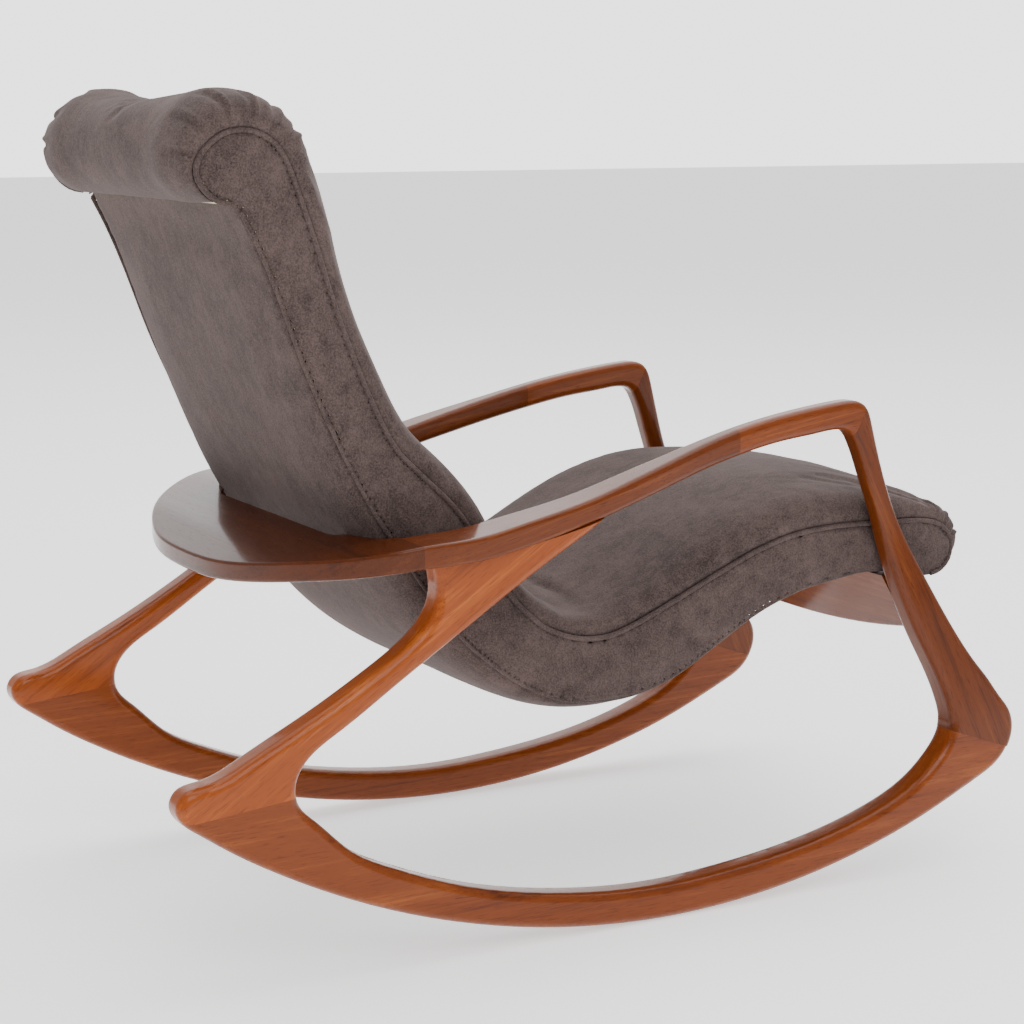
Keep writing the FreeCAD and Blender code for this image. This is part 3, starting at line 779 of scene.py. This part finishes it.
class ROCKINGCHAIR_OT_back(bpy.types.Operator):
    """Makes the padded cover of the outside back and the underside of the seat"""
    bl_idname = "rocking_chair.back"
    bl_label = "Outside back"

    def execute(self, context):
        look = context.scene.rocking_chair_velvet
        piece = copied("back_cover_velvet", "back_cover", velvet("velvet back"))
        line = Line(SEWN_LINE)
        deepened(piece, line, .014, .014)
        remeshed(piece, look.voxel, 1)
        pins = []
        for vertex in piece.data.vertices:
            _, height, _ = line.place(vertex.co)
            rail = (1 - ease(abs(vertex.co.z - .463), .045, .09)) * ease(vertex.co.y, .15, .20)
            pins.append(max(1 - ease(height, .002, .007), rail))
        filled(piece, pins, look.back_puff)
        subdivided(piece)
        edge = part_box("back_cover")[1][0]
        for vertex in piece.data.vertices:
            along, height, normal = line.place(vertex.co)
            if height < .001:
                continue
            out = Vector((0, normal.x, normal.y))
            from_end = edge - abs(vertex.co.x)
            soft = noise.noise(Vector((vertex.co.x * 5, along * 6, 8.1)))
            soft += .5 * noise.noise(Vector((vertex.co.x * 15, along * 13, 2.2)))
            pucker = noise.noise(Vector((along * 60, 1.3, 0))) * (1 - ease(from_end, .003, .02))
            vertex.co += out * (.0009 * soft * ease(height, .004, .02) + .0007 * pucker)
        return {"FINISHED"}


class ROCKINGCHAIR_OT_sides(bpy.types.Operator):
    """Makes the thin padded velvet panels on both sides"""
    bl_idname = "rocking_chair.sides"
    bl_label = "Side panels"

    def execute(self, context):
        look = context.scene.rocking_chair_velvet
        for side, end in (("left", 1), ("right", -1)):
            name = "side_panel_" + side
            piece = copied(name + "_velvet", name, velvet("velvet side " + side))
            remeshed(piece, PANEL_CELL, 1)
            low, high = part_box(name)
            outer = max(abs(low[0]), abs(high[0]))
            rim = [v.co for v in piece.data.vertices if abs(v.normal.x) < .6]
            tree = kdtree.KDTree(len(rim))
            for index, co in enumerate(rim):
                tree.insert((0, co.y, co.z), index)
            tree.balance()
            facing = [v.normal.copy() for v in piece.data.vertices]
            for vertex in piece.data.vertices:
                turned = facing[vertex.index]
                if abs(turned.x) < .6:
                    vertex.co += Vector((0, turned.y, turned.z)).normalized() * PANEL_OVERHANG
            for vertex in piece.data.vertices:
                if abs(vertex.co.x) > outer - .0025:
                    _, _, distance = tree.find((0, vertex.co.y, vertex.co.z))
                    crown = look.panel_crown * (1 - math.exp(-distance / .026))
                    soft = noise.noise(Vector((end * 3, vertex.co.y * 9, vertex.co.z * 9)))
                    vertex.co.x += end * (crown + .0018 * soft * ease(distance, .005, .05))
        return {"FINISHED"}


class ROCKINGCHAIR_OT_trim(bpy.types.Operator):
    """Makes the velvet cords, the rolled sewn edges and their hand stitches"""
    bl_idname = "rocking_chair.trim"
    bl_label = "Cords and stitches"

    def execute(self, context):
        look = context.scene.rocking_chair_velvet
        cover = velvet("velvet cord", .0006)
        cord_line = Line(CORD_LINE)
        sewn_line = Line(SEWN_LINE)
        for side, end in (("left", 1), ("right", -1)):
            name = "welt_" + side
            low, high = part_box(name)
            middle = (low[0] + high[0]) / 2
            cord = tube(name + "_cord", cord_line, middle, (high[0] - low[0]) / 2, cover)
            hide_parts(name)
            edge = abs(middle) - .001
            rolled = tube("sewn_edge_" + side, sewn_line, end * edge, look.cord, cover, .8)
            self.stitches(side, end, sewn_line, edge + look.cord * .62, look, cover)
        return {"FINISHED"}

    def stitches(self, side, end, line, x, look, cover):
        shape = bmesh.new()
        for count in range(int(line.length / look.stitch_pitch)):
            spot, normal = line.at((count + .5) * look.stitch_pitch)
            made = bmesh.ops.create_uvsphere(
                shape, u_segments=8, v_segments=6, radius=STITCH_RADIUS)["verts"]
            bmesh.ops.scale(shape, vec=(1, 1, STITCH_STRETCH), verts=made)
            lean = math.atan2(normal.x, normal.y) + STITCH_LEAN
            bmesh.ops.rotate(shape, cent=(0, 0, 0), verts=made,
                             matrix=Matrix.Rotation(-lean, 3, "X"))
            sunk = spot - normal * STITCH_SINK
            bmesh.ops.translate(shape, verts=made, vec=(end * x, sunk.x, sunk.y))
        mesh = bpy.data.meshes.new("stitches_" + side)
        shape.to_mesh(mesh)
        shape.free()
        mesh.shade_smooth()
        piece = new_object("stitches_" + side, mesh, cover)


class ROCKINGCHAIR_OT_stage(bpy.types.Operator):
    """Sets up the pale floor, the soft lights and the camera"""
    bl_idname = "rocking_chair.stage"
    bl_label = "Stage"

    def execute(self, context):
        scene = context.scene
        stage = scene.rocking_chair_stage
        world = bpy.data.worlds.new("white room")
        world.use_nodes = True
        sky = world.node_tree.nodes["Background"]
        seen = node(world.node_tree, "ShaderNodeLightPath").outputs["Is Camera Ray"]
        way = node(world.node_tree, "ShaderNodeTexCoord").outputs["Generated"]
        facing = node(world.node_tree, "ShaderNodeVectorMath", {0: way, 1: FAR_SIDE}, operation="DOT_PRODUCT")
        glow = node(world.node_tree, "ShaderNodeMapRange", {
            "Value": facing.outputs["Value"], "From Min": .70, "From Max": .96, "To Max": stage.far,
        }, interpolation_type="SMOOTHSTEP").outputs["Result"]
        lit = number(world.node_tree, "ADD", glow, stage.surround)
        strength = node(world.node_tree, "ShaderNodeMix", {0: seen, 2: lit, 3: stage.backdrop}).outputs[0]
        sky.inputs["Color"].default_value = (1, 1, 1, 1)
        world.node_tree.links.new(strength, sky.inputs["Strength"])
        scene.world = world

        shape = bmesh.new()
        bmesh.ops.create_grid(shape, x_segments=1, y_segments=1, size=30)
        mesh = bpy.data.meshes.new("floor")
        shape.to_mesh(mesh)
        shape.free()
        floor = bpy.data.objects.new("floor", mesh)
        scene.collection.objects.link(floor)
        material, tree, shader, place = new_material("pale floor")
        tone = noise_value(tree, place, 1.5, 2, .5)
        pale = tuple(c * .985 for c in stage.floor[:3]) + (1,)
        tree.links.new(ramp(tree, tone, [(.3, pale), (.7, stage.floor)]), shader.inputs["Base Color"])
        shader.inputs["Roughness"].default_value = .65
        shader.inputs["Emission Color"].default_value = (1, 1, 1, 1)
        shader.inputs["Emission Strength"].default_value = stage.floor_glow
        shader.inputs["Specular IOR Level"].default_value = .25
        mesh.materials.append(material)

        for name, power, width, height, place_at, aim in (
                ("overhead light", stage.overhead, 7, 7, Vector((1.2, -1.2, 5.5)), Vector((.6, -.6, 0))),
                ("key light", stage.key, 1.8, 1.8, Vector((-2.6, .9, 2.7)), Vector((0, .1, .5)))):
            lamp = bpy.data.lights.new(name, "AREA")
            lamp.shape = "RECTANGLE"
            lamp.size = width
            lamp.size_y = height
            lamp.energy = power
            holder = bpy.data.objects.new(name, lamp)
            holder.visible_camera = False
            holder.location = place_at
            holder.rotation_euler = (aim - place_at).to_track_quat("-Z", "Y").to_euler()
            scene.collection.objects.link(holder)

        lens = bpy.data.cameras.new("camera")
        lens.lens = stage.lens
        lens.sensor_width = 36
        camera = bpy.data.objects.new("camera", lens)
        camera.location = stage.camera_at
        camera.rotation_euler = Vector(stage.camera_towards).to_track_quat("-Z", "Y").to_euler()
        scene.collection.objects.link(camera)
        scene.camera = camera
        return {"FINISHED"}


class ROCKINGCHAIR_PT_panel(bpy.types.Panel):
    """Sizes, colours and steps of the rocking chair"""
    bl_label = "Rocking chair"
    bl_space_type = "VIEW_3D"
    bl_region_type = "UI"
    bl_category = "Rocking chair"

    def draw(self, context):
        layout = self.layout
        for group in (context.scene.rocking_chair_wood, context.scene.rocking_chair_velvet,
                      context.scene.rocking_chair_stage):
            box = layout.box()
            for name in group.__annotations__:
                box.prop(group, name)
        for step in STEPS:
            layout.operator(step.bl_idname)


STEPS = (
    ROCKINGCHAIR_OT_wood, ROCKINGCHAIR_OT_hidden, ROCKINGCHAIR_OT_front, ROCKINGCHAIR_OT_back,
    ROCKINGCHAIR_OT_sides, ROCKINGCHAIR_OT_trim, ROCKINGCHAIR_OT_stage,
)
CLASSES = (RockingChairWood, RockingChairVelvet, RockingChairStage) + STEPS + (ROCKINGCHAIR_PT_panel,)


def register():
    for item in CLASSES:
        bpy.utils.register_class(item)
    bpy.types.Scene.rocking_chair_wood = PointerProperty(type=RockingChairWood)
    bpy.types.Scene.rocking_chair_velvet = PointerProperty(type=RockingChairVelvet)
    bpy.types.Scene.rocking_chair_stage = PointerProperty(type=RockingChairStage)


def unregister():
    del bpy.types.Scene.rocking_chair_wood
    del bpy.types.Scene.rocking_chair_velvet
    del bpy.types.Scene.rocking_chair_stage
    for item in reversed(CLASSES):
        bpy.utils.unregister_class(item)


def main():
    register()
    bpy.ops.rocking_chair.wood()
    bpy.ops.rocking_chair.hidden()
    bpy.ops.rocking_chair.front()
    bpy.ops.rocking_chair.back()
    bpy.ops.rocking_chair.sides()
    bpy.ops.rocking_chair.trim()
    bpy.ops.rocking_chair.stage()


if __name__ == "__main__":
    main()
